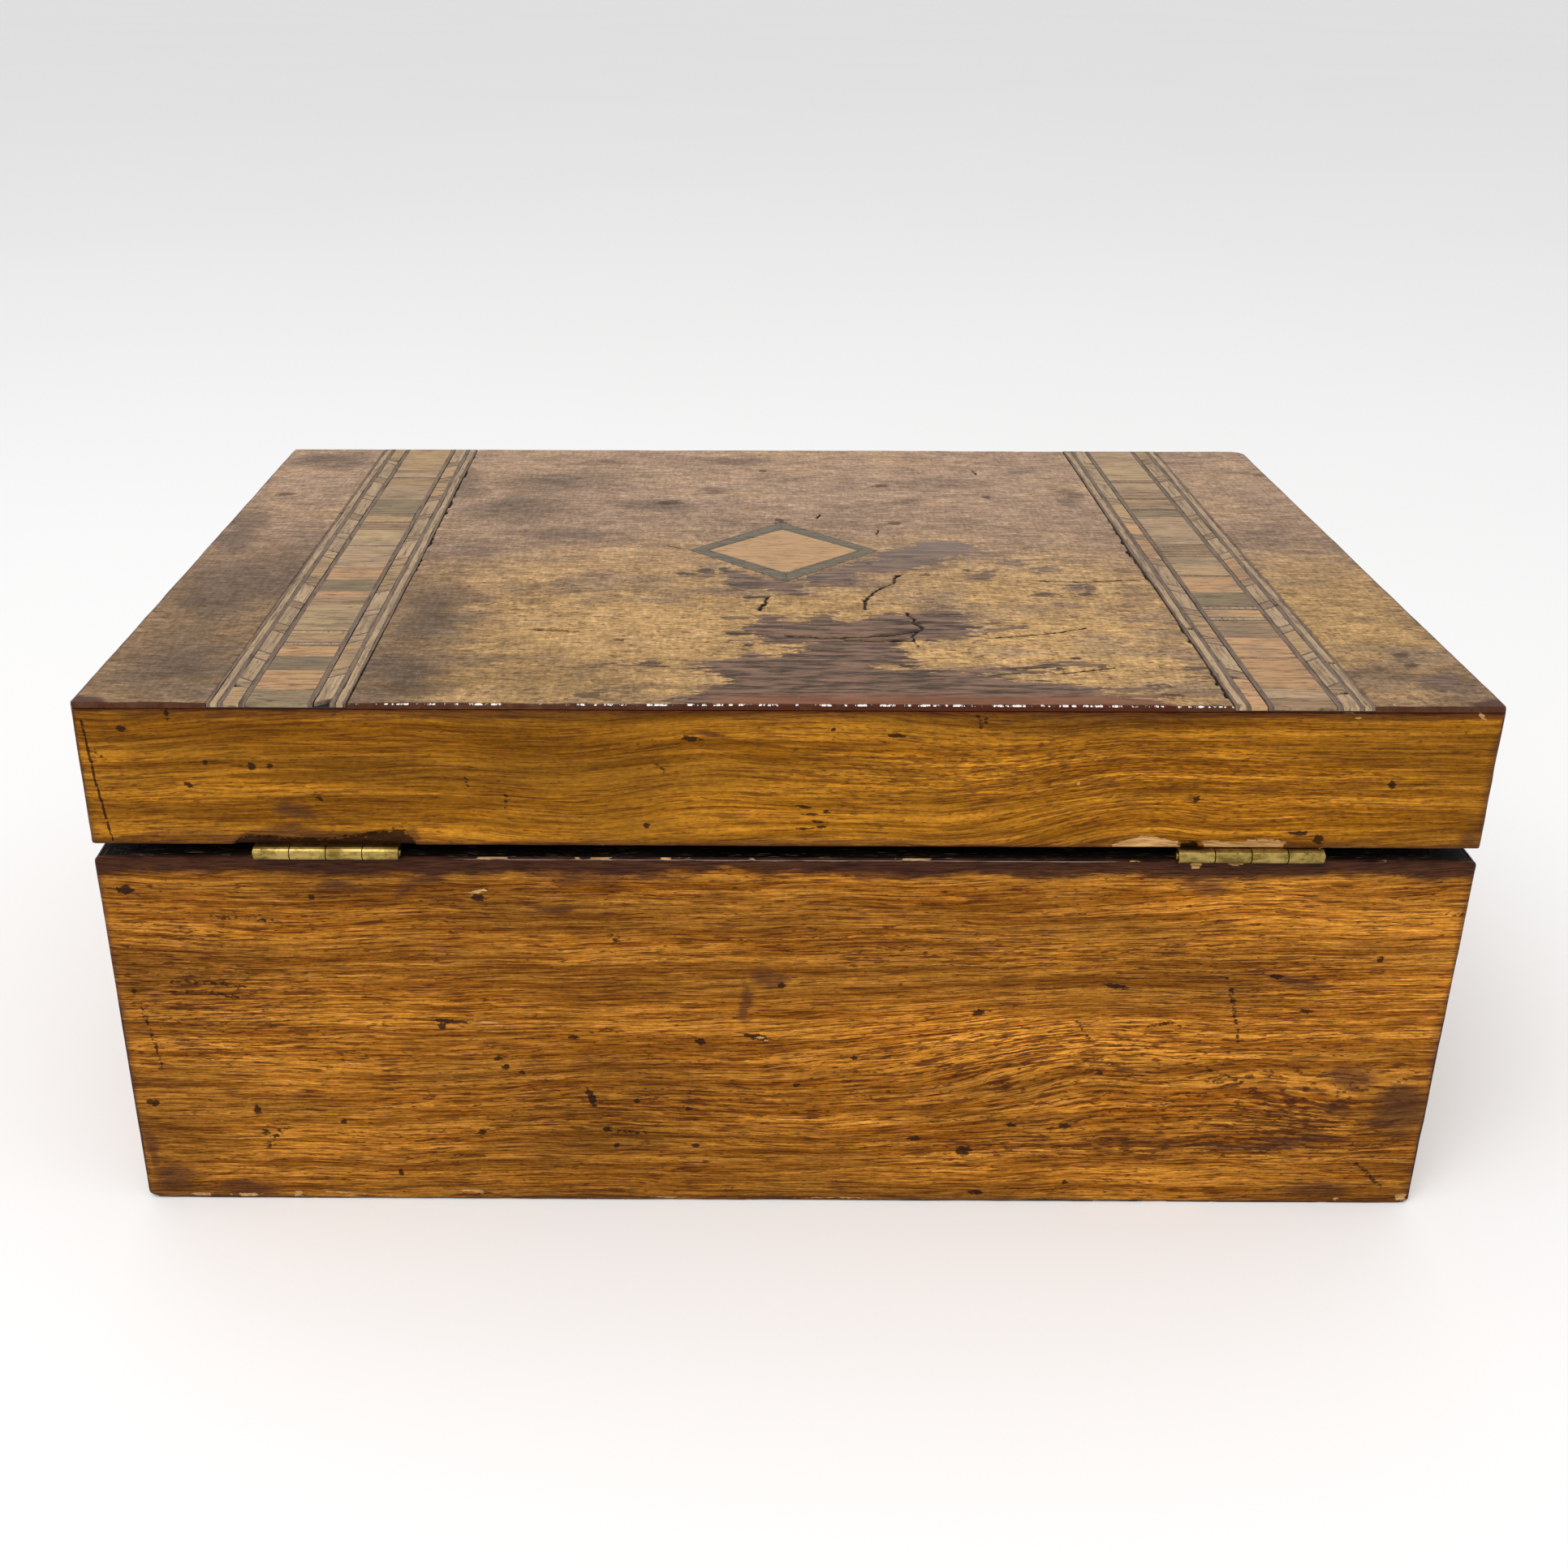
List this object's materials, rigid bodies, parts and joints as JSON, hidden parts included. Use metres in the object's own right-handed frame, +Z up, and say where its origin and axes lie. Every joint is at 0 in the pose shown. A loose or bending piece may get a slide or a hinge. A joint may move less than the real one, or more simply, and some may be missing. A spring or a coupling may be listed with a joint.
{
  "type": "hinged inlaid wooden box",
  "caption": "Low rectangular veneered wooden box with a hinged lid, inlaid cross-grain bands, an inlaid diamond, brass butt hinges and a sliding-bolt lock.",
  "frame": {"origin": "middle of the underside, under the centre of the four walls", "axes": "+X along the width, +Y towards the hinged back, +Z up"},
  "size_m": [0.305, 0.2216, 0.13],
  "materials": {
    "side_veneer": "satin varnish, worn",
    "top_veneer": "matte, varnish mostly lost",
    "carcass": "matte",
    "facing": "matte, dirty",
    "band_core": "matte",
    "band_border": "matte",
    "diamond_light": "matte",
    "diamond_dark": "matte",
    "lining": "matte paper",
    "brass": "tarnished",
    "steel": "dull"
  },
  "bodies": {
    "body": {"body_back_board": "carcass", "body_back_facing": "facing", "body_back_veneer": "side_veneer", "body_front_band_left": "band_core", "body_front_band_right": "band_core", "body_front_board": "carcass", "body_front_facing": "facing", "body_front_veneer": "side_veneer", "body_left_board": "carcass", "body_left_facing": "facing", "body_left_veneer": "side_veneer", "body_lining": "lining", "body_right_board": "carcass", "body_right_facing": "facing", "body_right_veneer": "side_veneer", "bottom_board": "carcass", "escutcheon": "brass", "hinge_left_body_leaf": "brass", "hinge_left_body_screw_1": "brass", "hinge_left_body_screw_2": "brass", "hinge_left_pin": "brass", "hinge_right_body_leaf": "brass", "hinge_right_body_screw_1": "brass", "hinge_right_body_screw_2": "brass", "hinge_right_pin": "brass", "lock_case": "brass", "lock_screw_1": "steel", "lock_screw_2": "steel", "lock_spring": "steel"},
    "lid": {"band_left_core": "band_core", "band_left_inner": "band_border", "band_left_outer": "band_border", "band_right_core": "band_core", "band_right_inner": "band_border", "band_right_outer": "band_border", "diamond_border": "diamond_dark", "diamond_panel": "diamond_light", "hinge_left_lid_leaf": "brass", "hinge_left_lid_screw_1": "brass", "hinge_left_lid_screw_2": "brass", "hinge_right_lid_leaf": "brass", "hinge_right_lid_screw_1": "brass", "hinge_right_lid_screw_2": "brass", "lid_back_board": "carcass", "lid_back_veneer": "side_veneer", "lid_front_band_left": "band_core", "lid_front_band_right": "band_core", "lid_front_board": "carcass", "lid_front_veneer": "side_veneer", "lid_left_board": "carcass", "lid_left_veneer": "side_veneer", "lid_lining": "lining", "lid_right_board": "carcass", "lid_right_veneer": "side_veneer", "lid_top_board": "carcass", "lid_top_veneer": "top_veneer", "link_screw_1": "brass", "link_screw_2": "brass", "lock_link_plate": "brass"},
    "bolt": {"lock_bolt": "steel"}
  },
  "joints": [
    {"name": "lid_hinge", "type": "hinge", "parent": "body", "child": "lid", "pos_m": [0, 0.11, 0.09492], "axis": [-1, 0, 0], "range_deg": [0, 100]},
    {"name": "bolt_slide", "type": "slide", "parent": "body", "child": "bolt", "axis": [1, 0, 0], "range_m": [0, 0.0025]}
  ]
}
